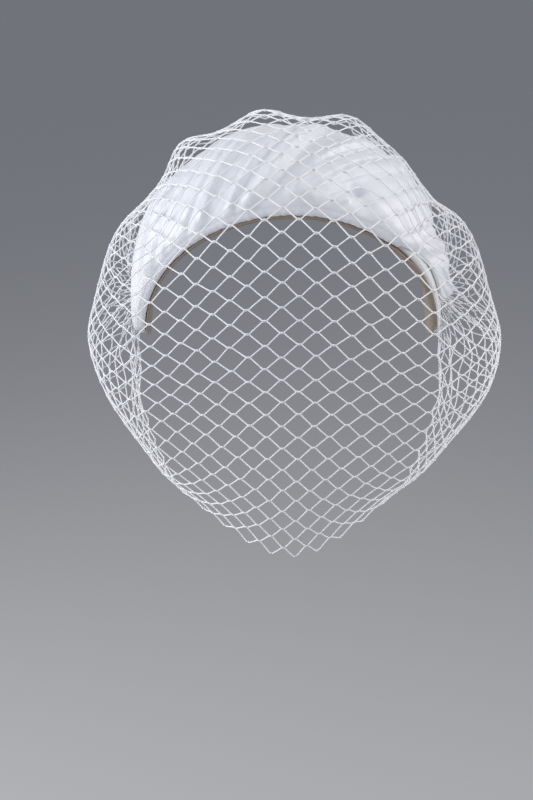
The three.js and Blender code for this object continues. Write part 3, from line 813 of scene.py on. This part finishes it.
class Finish:
    """A new material and short ways to add and join its nodes."""

    def __init__(self, name, colour, roughness):
        """A plain material of one colour and roughness."""
        self.material = bpy.data.materials.new(name)
        self.material.use_nodes = True
        self.tree = self.material.node_tree
        self.shader = self.tree.nodes["Principled BSDF"]
        self.shader.inputs["Base Color"].default_value = (*colour, 1)
        self.shader.inputs["Roughness"].default_value = roughness
        self.material.diffuse_color = (*colour, 1)

    def node(self, kind, inputs=(), **settings):
        """A new node. Its inputs are plain values or sockets to join to."""
        made = self.tree.nodes.new(kind)
        for key, value in settings.items():
            setattr(made, key, value)
        for key, value in dict(inputs).items():
            if isinstance(value, bpy.types.NodeSocket):
                self.tree.links.new(value, made.inputs[key])
            else:
                made.inputs[key].default_value = value
        return made

    def into(self, socket, value):
        """Joins a socket to one of the shader's inputs."""
        self.tree.links.new(value, self.shader.inputs[socket])

    def plain(self, **values):
        """Plain values of the shader's inputs, whose names are given with _ for each space."""
        for name, value in values.items():
            self.shader.inputs[name.replace("_", " ")].default_value = value

    def spots(self, where, scale, detail=3.0, stretch=(1, 1, 1)):
        """Soft noise on the given coordinates, stretched."""
        placed = self.node("ShaderNodeMapping", {"Vector": where, "Scale": stretch})
        noise = {"Vector": placed.outputs[0], "Scale": scale, "Detail": detail}
        return self.node("ShaderNodeTexNoise", noise).outputs["Fac"]

    def ribs(self, where, scale, direction="X", distortion=0.0):
        """Even ribs. Those along one axis are 2 pi / (20 x scale) of the coordinates apart."""
        wave = {"Vector": where, "Scale": scale, "Distortion": distortion}
        return self.node("ShaderNodeTexWave", wave, bands_direction=direction).outputs["Fac"]

    def between(self, value, low, high):
        """The value 0 to 1 stretched to run from low to high."""
        made = self.node("ShaderNodeMapRange", {"Value": value, "To Min": low, "To Max": high})
        return made.outputs["Result"]

    def tint(self, value, one, two):
        """The colour one where the value is 0 and two where it is 1."""
        made = self.node("ShaderNodeMix", {"Factor": value}, data_type="RGBA")
        made.inputs["A"].default_value = (*one, 1)
        made.inputs["B"].default_value = (*two, 1)
        return next(out for out in made.outputs if out.type == "RGBA")

    def bump(self, height, strength, distance, under=None):
        """Fine relief from a height, laid over the relief under it."""
        inputs = {"Height": height, "Strength": strength, "Distance": distance}
        if under is not None:
            inputs["Normal"] = under
        return self.node("ShaderNodeBump", inputs).outputs["Normal"]


def satin(name, light, shade):
    """Bridal satin: a smooth sheen, long floats of thread that catch the light one way, faint clouds
    of tone, and a very fine twill across it."""
    finish = Finish(name, light, 0.42)
    uv = finish.node("ShaderNodeUVMap", uv_map="cloth").outputs["UV"]
    where = finish.node("ShaderNodeTexCoord").outputs["Object"]
    clouds = finish.spots(where, 18, 4)
    finish.into("Base Color", finish.tint(clouds, light, shade))
    streaks = finish.spots(uv, 40, 3, (1, 9, 1))
    finish.into("Roughness", finish.between(streaks, 0.34, 0.5))
    finish.plain(Sheen_Weight=0.35, Sheen_Roughness=0.45, Specular_IOR_Level=0.45, Anisotropic=0.4)
    tangent = finish.node("ShaderNodeTangent", direction_type="UV_MAP", uv_map="cloth")
    finish.into("Tangent", tangent.outputs[0])
    twill = finish.ribs(uv, 90, "DIAGONAL")
    fine = finish.bump(twill, 0.12, 0.0001)
    soft = finish.bump(finish.spots(uv, 22, 4, (1, 2.4, 1)), 0.25, 0.0004, fine)
    finish.into("Normal", soft)
    return finish.material


def netting_thread(name, colour):
    """Matt twisted cotton thread: a spiral of two plies and a little fuzz."""
    finish = Finish(name, colour, 0.7)
    uv = finish.node("ShaderNodeUVMap", uv_map="cloth").outputs["UV"]
    where = finish.node("ShaderNodeTexCoord").outputs["Object"]
    shade = [channel * 0.95 for channel in colour]
    finish.into("Base Color", finish.tint(finish.spots(where, 60, 2), colour, shade))
    finish.plain(Sheen_Weight=0.6, Subsurface_Weight=0.7, Subsurface_Scale=0.0008)
    finish.plain(Subsurface_Radius=(1.0, 1.0, 1.0))
    plies = finish.ribs(uv, 3.0, "DIAGONAL")
    finish.into("Normal", finish.bump(plies, 0.3, 0.0001))
    return finish.material


def grosgrain(name, light, shade):
    """Matt ribbed ribbon: ribs across the band and slight wear of tone."""
    finish = Finish(name, light, 0.75)
    uv = finish.node("ShaderNodeUVMap", uv_map="cloth").outputs["UV"]
    where = finish.node("ShaderNodeTexCoord").outputs["Object"]
    finish.into("Base Color", finish.tint(finish.spots(where, 35, 4), light, shade))
    finish.plain(Sheen_Weight=0.2)
    ribs = finish.ribs(uv, 36, "X", 0.3)
    finish.into("Normal", finish.bump(ribs, 0.35, 0.0003))
    return finish.material


# ---- Settings ---------------------------------------------------------------------------------------


def colour_choice(name, description, default):
    """A colour that the user may change."""
    return bpy.props.FloatVectorProperty(
        name=name, description=description, default=default, size=3, min=0, max=1, subtype="COLOR"
    )


def size_choice(name, description, default):
    """A length that the user may change."""
    return bpy.props.FloatProperty(
        name=name, description=description, default=default, unit="LENGTH", precision=5
    )


def count_choice(name, description, default):
    """A whole number that the user may change."""
    return bpy.props.IntProperty(name=name, description=description, default=default)


class BandSettings(bpy.types.PropertyGroup):
    """Colours of the band's cloths."""

    # The drape's two satin colours carry a cool lilac tint that is painted shade: it stands for the
    # bluish shade in its folds. The clouds between the two are random tone.
    cover_light: colour_choice("Cover", "Colour of the drape's satin", (0.775, 0.78, 0.81))
    cover_shade: colour_choice("Cover shade", "Colour of its faint clouds", (0.725, 0.735, 0.785))
    base_light: colour_choice("Base", "Colour of the padded base's satin", (0.80, 0.80, 0.80))
    base_shade: colour_choice("Base shade", "Colour of the base's faint clouds", (0.74, 0.74, 0.745))
    # The lining's taupe is darkened as painted shade in both colours: it stands for the shadow that falls
    # on it under the drape. The clouds between the two are random tone.
    lining_taupe_and_painted_shade: colour_choice("Lining", "Colour of the ribbed lining", (0.32, 0.25, 0.20))
    lining_clouds_and_painted_shade: colour_choice("Lining shade", "Darker colour of the lining", (0.25, 0.195, 0.15))


class VeilSettings(bpy.types.PropertyGroup):
    """Sizes and colour of the net veil."""

    flat_width: size_choice("Flat width", "Width of the strip of net before it is gathered", 0.460)
    flat_length: size_choice("Flat length", "Length of the strip from top edge to bottom edge", 0.240)
    cells_across: count_choice("Cells across", "Whole cells over the width", 25)
    cells_down: count_choice("Cells down", "Whole cells over the length", 25)
    strand_thickness: size_choice("Strand", "Thickness of one strand", 0.00069)
    unevenness: size_choice("Unevenness", "How far the knots stray from an even net", 0.00022)
    lattice_shift: size_choice("Shift", "Sideways place of the middle column of knots", 0.003)
    colour: colour_choice("Net", "Colour of the net's thread", (0.80, 0.81, 0.83))


class StageSettings(bpy.types.PropertyGroup):
    """The floor, the camera and the light."""

    floor_depth: size_choice("Floor depth", "How far the floor lies below the crown", 1.10)
    floor_colour: colour_choice("Floor", "Colour of the plain floor", (0.48, 0.475, 0.47))
    camera_place: bpy.props.FloatVectorProperty(
        name="Camera", description="Place of the camera", default=(-0.0126, -0.5832, 0.1208),
        size=3, subtype="TRANSLATION", unit="LENGTH",
    )
    camera_pitch: bpy.props.FloatProperty(
        name="Pitch", description="How far the camera looks down",
        default=math.radians(24.5), subtype="ANGLE",
    )
    lens: bpy.props.FloatProperty(name="Lens", description="Focal length in millimetres", default=50.0)


# ---- Operators --------------------------------------------------------------------------------------


def settle(piece, slot, material, *nodes):
    """Gives a finished piece its material and its body, and hides the nodes of the frame that it stands
    for.
    """
    piece.data.materials.append(material)
    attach(piece, "root")
    if nodes:
        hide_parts(*nodes)
    return piece


class HEADBAND_OT_lining(bpy.types.Operator):
    """Makes the ribbed lining on the inside of the band"""

    bl_idname = "headband.lining"
    bl_label = "Make the lining"

    def execute(self, context):
        look = context.scene.headband_band
        edge = LINING_EDGE["wall"]

        def top(angle, across, share):
            """An even wall that rolls to a thin edge, with the rim's rise on the right."""
            risen = smooth(angle, LINING_RIM["from"], LINING_RIM["to"])
            rim = 1 - smooth(across, -LINING_RIM["inner"], 0)
            body = LINING_WALL + risen * rim * LINING_RIM["rise"]
            return edge + (body - edge) * edge_roll(share, LINING_EDGE["roll"])

        piece = band_piece(
            "lining_ribbon", -BAND_REACH, BAND_REACH, *LINING_ROWS,
            lambda angle: np.full(angle.shape, -LINING_RIM["proud"]), 1.0,
            top, lambda angle, across: np.zeros(np.broadcast(angle, across).shape),
        )
        # The lining's colours are darkened as painted shade for the shadow under the drape.
        material = grosgrain("lining_grosgrain", look.lining_taupe_and_painted_shade, look.lining_clouds_and_painted_shade)
        settle(piece, "lining_cloth", material, "lining")
        return {"FINISHED"}


class HEADBAND_OT_base(bpy.types.Operator):
    """Makes the padded base with its rolled satin rim"""

    bl_idname = "headband.base"
    bl_label = "Make the padded base"

    def execute(self, context):
        look = context.scene.headband_band
        reach = BAND_REACH - BASE_SHORTER

        def top(angle, across, share):
            """The padding, rolled down to a thin edge and crimped a little on the right."""
            full = padding_top(angle, across)
            crimp = BASE_CRIMP * pucker_relief(angle, share * MM_ACROSS) * on_right(angle)
            rise = full - BASE_FLOOR - EDGE_WALL + crimp
            return BASE_FLOOR + EDGE_WALL + rise * edge_roll(share, BASE_ROLL)

        piece = band_piece(
            "band_base", -reach, reach, *BASE_ROWS,
            lambda angle: np.zeros(angle.shape), 1.0,
            top, lambda angle, across: np.full(np.broadcast(angle, across).shape, BASE_FLOOR),
        )
        material = satin("base_satin", look.base_light, look.base_shade)
        settle(piece, "base_satin", material, "padded_base")
        return {"FINISHED"}


class HEADBAND_OT_cover(bpy.types.Operator):
    """Makes the pleated satin drape over the band"""

    bl_idname = "headband.cover"
    bl_label = "Make the draped cover"

    def execute(self, context):
        look = context.scene.headband_band
        low_end, high_end = COVER_REACH["left"], COVER_REACH["right"]

        def bottom(angle, across):
            """One gap over the padding, rounded down over its rim."""
            round_rim = quarter_round((across + GAP / MM_ACROSS) / BASE_ROLL)
            return BASE_FLOOR + GAP + (padding_top(angle, across) - BASE_FLOOR) * round_rim

        def top(angle, across, share):
            """The drape's outer face, rolled down to its underside at the edges and lower at the ends."""
            low = bottom(angle, across)
            full = cover_top(angle, across) - low - EDGE_WALL
            roll = lerp(COVER_ROLL["lip"], COVER_ROLL["right"], on_right(angle))
            front = quarter_round(share / roll)
            back = quarter_round((1 - share) / COVER_ROLL["right"])
            to_end = np.minimum(angle - low_end, high_end - angle)
            end = lerp(COVER_END_LEAST, 1, quarter_round(to_end / COVER_END))
            return low + EDGE_WALL + full * front * back * end

        piece = band_piece(
            "band_cover", low_end, high_end, *COVER_ROWS,
            cover_front, COVER_BACK, top, bottom, COVER_TIP,
        )
        # The satin's colours carry a lilac tint as painted shade for the bluish shade in the folds.
        material = satin("cover_satin", look.cover_light, look.cover_shade)
        settle(piece, "cover_satin", material, "draped_cover")
        return {"FINISHED"}


class HEADBAND_OT_veil(bpy.types.Operator):
    """Makes the knotted net veil, gathered behind each ear"""

    bl_idname = "headband.veil"
    bl_label = "Make the veil"

    def execute(self, context):
        veil = context.scene.headband_veil
        points, faces, uv = net_mesh(veil)
        piece = facing_out(new_piece("veil_strands", points, faces, uv))
        settle(piece, "veil_netting", netting_thread("net_thread", veil.colour), "veil_net")
        return {"FINISHED"}


# Sizes of the stage are in metres.
FLOOR_HALF = 24.0
LIGHTS = columns("name x y z width power red green blue", [
    ("left", -1.40, -0.15, 0.14, 2.0, 30.5, 0.98, 0.985, 1.0),
    ("right", 1.05, -0.13, 0.60, 1.8, 17.5, 1.0, 0.975, 0.94),
    ("front", -0.10, -1.30, 0.10, 1.5, 2.4, 0.86, 0.92, 1.0),
])
SKY = {"colour": (0.83, 0.88, 1.0, 1), "strength": 0.38}


class HEADBAND_OT_stage(bpy.types.Operator):
    """Makes the plain floor, the soft lights and the camera"""

    bl_idname = "headband.stage"
    bl_label = "Set the stage"

    def execute(self, context):
        stage = context.scene.headband_stage
        half = FLOOR_HALF / MM
        z = -stage.floor_depth / MM
        corners = [(-half, -half, z), (half, -half, z), (half, half, z), (-half, half, z)]
        floor = new_piece("floor", corners, [np.array([[0, 1, 2, 3]])], smooth_faces=False)
        finish = Finish("floor_paint", stage.floor_colour, 0.85)
        floor.data.materials.append(finish.material)
        for light in LIGHTS:
            data = bpy.data.lights.new(light["name"], "AREA")
            data.shape = "DISK"
            data.size = light["width"]
            data.energy = light["power"]
            data.color = (light["red"], light["green"], light["blue"])
            lamp = bpy.data.objects.new(light["name"], data)
            context.scene.collection.objects.link(lamp)
            lamp.location = (light["x"], light["y"], light["z"])
            aim = lamp.location - frame["bodies"]["root"].location
            lamp.rotation_euler = aim.to_track_quat("Z", "Y").to_euler()
        world = bpy.data.worlds.new("studio")
        world.use_nodes = True
        sky = world.node_tree.nodes["Background"]
        sky.inputs["Color"].default_value = SKY["colour"]
        sky.inputs["Strength"].default_value = SKY["strength"]
        context.scene.world = world
        context.scene.view_settings.view_transform = "Standard"
        lens = bpy.data.cameras.new("camera")
        lens.lens = stage.lens
        camera = bpy.data.objects.new("camera", lens)
        context.scene.collection.objects.link(camera)
        camera.location = stage.camera_place
        camera.rotation_euler = (math.pi / 2 - stage.camera_pitch, 0, 0)
        context.scene.camera = camera
        return {"FINISHED"}


class HEADBAND_PT_panel(bpy.types.Panel):
    """Lists the headband's pieces in the sidebar"""

    bl_label = "Bridal headband"
    bl_idname = "HEADBAND_PT_panel"
    bl_space_type = "VIEW_3D"
    bl_region_type = "UI"
    bl_category = TAB

    def draw(self, context):
        for kind in GROUPS:
            group = getattr(context.scene, kind)
            box = self.layout.box()
            for name in group.__annotations__:
                box.prop(group, name)
        for operator in OPERATORS:
            self.layout.operator(operator.bl_idname)


OPERATORS = (
    HEADBAND_OT_lining,
    HEADBAND_OT_base,
    HEADBAND_OT_cover,
    HEADBAND_OT_veil,
    HEADBAND_OT_stage,
)
GROUPS = {
    "headband_band": BandSettings,
    "headband_veil": VeilSettings,
    "headband_stage": StageSettings,
}


def register():
    """Registers the settings, the operators and the panel."""
    for name, group in GROUPS.items():
        bpy.utils.register_class(group)
        setattr(bpy.types.Scene, name, bpy.props.PointerProperty(type=group))
    for kind in (*OPERATORS, HEADBAND_PT_panel):
        bpy.utils.register_class(kind)


def unregister():
    """Undoes register."""
    for kind in (HEADBAND_PT_panel, *reversed(OPERATORS)):
        bpy.utils.unregister_class(kind)
    for name, group in GROUPS.items():
        delattr(bpy.types.Scene, name)
        bpy.utils.unregister_class(group)


def main():
    register()
    bpy.ops.headband.lining()
    bpy.ops.headband.base()
    bpy.ops.headband.cover()
    bpy.ops.headband.veil()
    bpy.ops.headband.stage()


if __name__ == "__main__":
    main()
